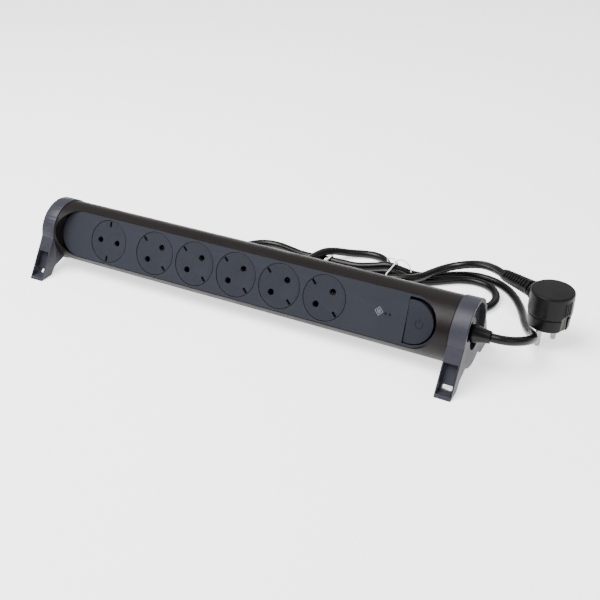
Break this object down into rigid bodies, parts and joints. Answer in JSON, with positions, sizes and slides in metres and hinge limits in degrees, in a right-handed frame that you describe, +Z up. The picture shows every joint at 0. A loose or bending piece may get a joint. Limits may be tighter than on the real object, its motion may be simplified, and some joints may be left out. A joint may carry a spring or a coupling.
{
  "type": "power strip",
  "caption": "Swivelling power strip: round barrel with a flat panel of retracting-face sockets and a rocker switch, held between two splayed feet, with a mains cord and plug.",
  "frame": {"origin": "middle of the strip's footprint, on the ground, measured without the cord, its relief and its plug", "axes": "+X along the strip towards the switch and the cord, +Y to the back, +Z up; the socket panel faces -Y and a little up"},
  "size_m": [0.4848, 0.1979, 0.0618],
  "materials": {
    "black_plastic": "satin, fine grain",
    "slate_plastic": "matt slate grey",
    "dark_plastic": "matt",
    "foot_plastic": "satin grey",
    "spring_steel": "bright wire",
    "brass": "stamped strip",
    "nickel": "nickel plated",
    "lens_clear": "clear lens",
    "board_green": "laminate",
    "brown_wire": "insulation",
    "blue_wire": "insulation",
    "earth_wire": "insulation",
    "cord_rubber": "semi-gloss black",
    "tie_white": "soft strap"
  },
  "bodies": {
    "feet": {"left_foot": "foot_plastic", "right_foot": "foot_plastic", "mains_cord": "cord_rubber", "cord_end_loop": "cord_rubber", "cord_small_loop": "cord_rubber", "plug_lead": "cord_rubber", "cord_hank": "cord_rubber", "cord_tie_1": "tie_white", "cord_tie_2": "tie_white", "plug_base": "cord_rubber", "plug_cover": "cord_rubber", "plug_pin_1": "nickel", "plug_pin_2": "nickel", "plug_earth_strap_1": "nickel", "plug_earth_strap_2": "nickel", "plug_strain_relief": "cord_rubber"},
    "barrel": {"barrel_housing": "black_plastic", "right_end_cap": "black_plastic", "left_end_cap": "black_plastic", "switch_body": "black_plastic", "front_panel": "slate_plastic", "contact_tray": "dark_plastic", "cord_clamp": "dark_plastic", "socket_well_1": "dark_plastic", "socket_well_2": "dark_plastic", "socket_well_3": "dark_plastic", "socket_well_4": "dark_plastic", "socket_well_5": "dark_plastic", "socket_well_6": "dark_plastic", "rocker_pivot_pin": "spring_steel", "left_pivot_clip": "spring_steel", "right_pivot_clip": "spring_steel", "socket_spring_1": "spring_steel", "socket_spring_2": "spring_steel", "socket_spring_3": "spring_steel", "socket_spring_4": "spring_steel", "socket_spring_5": "spring_steel", "socket_spring_6": "spring_steel", "live_bus_bar": "brass", "neutral_bus_bar": "brass", "earth_bus_bar": "nickel", "clamp_screw_1": "nickel", "clamp_screw_2": "nickel", "indicator_lens": "lens_clear", "indicator_lamp": "lens_clear", "suppressor_board": "board_green", "live_lead": "brown_wire", "switched_lead": "brown_wire", "neutral_lead": "blue_wire", "earth_lead": "earth_wire", "cord_strain_relief": "cord_rubber", "cord_tail": "cord_rubber"},
    "socket_face_1": {"socket_face_1": "slate_plastic"},
    "socket_face_2": {"socket_face_2": "slate_plastic"},
    "socket_face_3": {"socket_face_3": "slate_plastic"},
    "socket_face_4": {"socket_face_4": "slate_plastic"},
    "socket_face_5": {"socket_face_5": "slate_plastic"},
    "socket_face_6": {"socket_face_6": "slate_plastic"},
    "rocker": {"rocker_button": "slate_plastic"}
  },
  "joints": [
    {"name": "barrel_swivel", "type": "hinge", "parent": "feet", "child": "barrel", "pos_m": [0, 0.0059, 0.0326], "axis": [-1, 0, 0], "range_deg": [-20, 65]},
    {"name": "rocker_tilt", "type": "hinge", "parent": "barrel", "child": "rocker", "pos_m": [0.168, 0.00129, 0.03455], "axis": [-1, 0, 0], "range_deg": [0, 9]},
    {"name": "socket_face_1_press", "type": "slide", "parent": "barrel", "child": "socket_face_1", "axis": [0, 0.9212, -0.3891], "range_m": [0, 0.0145], "stiffness_N_per_m": 120, "springref_m": -0.008, "deforming": ["socket_spring_1"]},
    {"name": "socket_face_2_press", "type": "slide", "parent": "barrel", "child": "socket_face_2", "axis": [0, 0.9212, -0.3891], "range_m": [0, 0.0145], "stiffness_N_per_m": 120, "springref_m": -0.008, "deforming": ["socket_spring_2"]},
    {"name": "socket_face_3_press", "type": "slide", "parent": "barrel", "child": "socket_face_3", "axis": [0, 0.9212, -0.3891], "range_m": [0, 0.0145], "stiffness_N_per_m": 120, "springref_m": -0.008, "deforming": ["socket_spring_3"]},
    {"name": "socket_face_4_press", "type": "slide", "parent": "barrel", "child": "socket_face_4", "axis": [0, 0.9212, -0.3891], "range_m": [0, 0.0145], "stiffness_N_per_m": 120, "springref_m": -0.008, "deforming": ["socket_spring_4"]},
    {"name": "socket_face_5_press", "type": "slide", "parent": "barrel", "child": "socket_face_5", "axis": [0, 0.9212, -0.3891], "range_m": [0, 0.0145], "stiffness_N_per_m": 120, "springref_m": -0.008, "deforming": ["socket_spring_5"]},
    {"name": "socket_face_6_press", "type": "slide", "parent": "barrel", "child": "socket_face_6", "axis": [0, 0.9212, -0.3891], "range_m": [0, 0.0145], "stiffness_N_per_m": 120, "springref_m": -0.008, "deforming": ["socket_spring_6"]}
  ]
}
